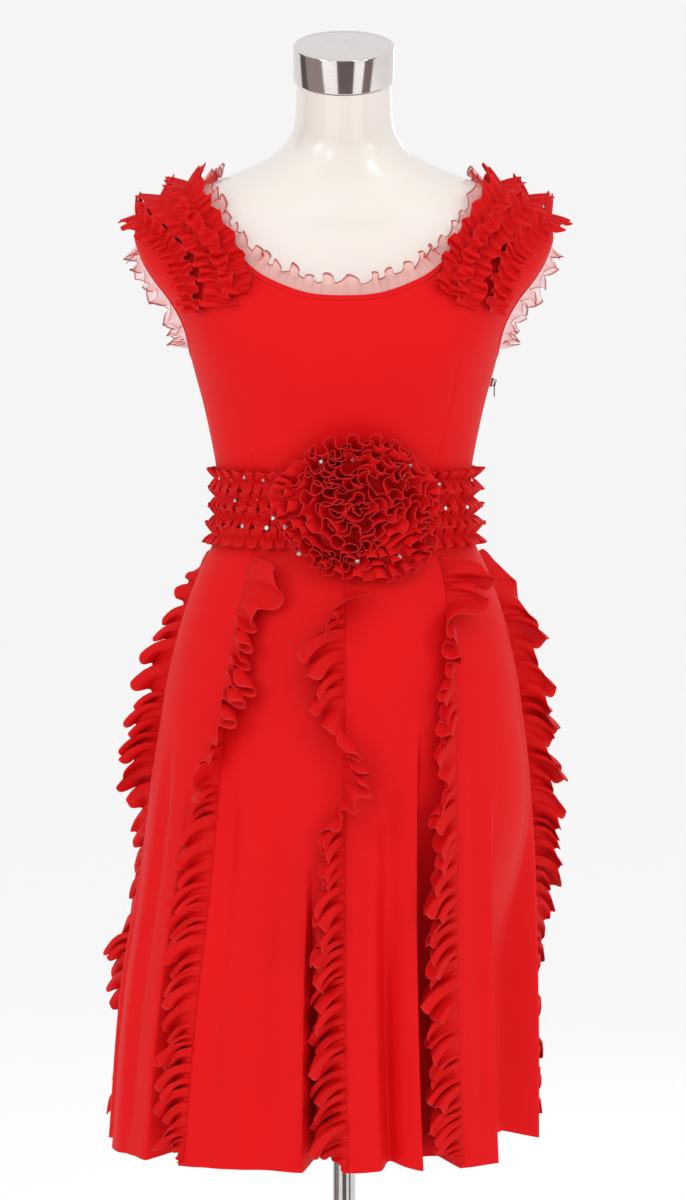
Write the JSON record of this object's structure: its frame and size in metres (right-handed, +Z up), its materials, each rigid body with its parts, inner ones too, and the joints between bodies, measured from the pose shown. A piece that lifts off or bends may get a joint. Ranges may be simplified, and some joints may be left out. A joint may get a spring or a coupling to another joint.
{
  "type": "party dress on dress form",
  "caption": "Sleeveless party dress with gathered frills, a waist rosette and a flared gored skirt, standing on a limbless dress form with a chrome neck cap, pole and round base.",
  "frame": {"origin": "middle of the base plate's underside, on the floor", "axes": "+Z up along the pole, -Y is the front of the dress and +X is the wearer's left"},
  "size_m": [0.4378, 0.3885, 1.4972],
  "materials": {
    "red_crepe": "matte",
    "red_frill": "matte",
    "organza": "sheer",
    "form": "gloss",
    "chrome": "polished",
    "steel": "brushed",
    "zip": "satin"
  },
  "bodies": {
    "dress_and_form": {"armhole_band_left": "red_crepe", "armhole_band_right": "red_crepe", "armhole_frill_left": "organza", "armhole_frill_right": "organza", "base_plate": "steel", "bodice_back": "red_crepe", "bodice_front": "red_crepe", "dress_form": "form", "neck_cap": "chrome", "neck_frill": "organza", "pole": "chrome", "rosette_base": "red_frill", "rosette_frill_1": "red_frill", "rosette_frill_2": "red_frill", "rosette_frill_3": "red_frill", "rosette_frill_4": "red_frill", "rosette_frill_5": "red_frill", "shoulder_frill_left_1": "red_frill", "shoulder_frill_left_2": "red_frill", "shoulder_frill_left_3": "red_frill", "shoulder_frill_right_1": "red_frill", "shoulder_frill_right_2": "red_frill", "shoulder_frill_right_3": "red_frill", "skirt_frill_back": "red_frill", "skirt_frill_front": "red_frill", "skirt_frill_left_back": "red_frill", "skirt_frill_left_front": "red_frill", "skirt_frill_left_side": "red_frill", "skirt_frill_right_back": "red_frill", "skirt_frill_right_front": "red_frill", "skirt_frill_right_side": "red_frill", "skirt_gore_back": "red_crepe", "skirt_gore_front": "red_crepe", "skirt_gore_left_back": "red_crepe", "skirt_gore_left_front": "red_crepe", "skirt_gore_left_side": "red_crepe", "skirt_gore_right_back": "red_crepe", "skirt_gore_right_front": "red_crepe", "skirt_gore_right_side": "red_crepe", "waist_frill_1": "red_frill", "waist_frill_2": "red_frill", "waist_frill_3": "red_frill", "waist_frill_4": "red_frill", "waistband": "red_crepe", "zip_slider": "zip"},
    "zip_pull": {"zip_pull": "zip"}
  },
  "joints": [
    {"name": "zip_pull_hinge", "type": "hinge", "parent": "dress_and_form", "child": "zip_pull", "pos_m": [0.14221, 0.00002, 1.16646], "axis": [0, -1, 0], "range_deg": [-10, 85]}
  ]
}
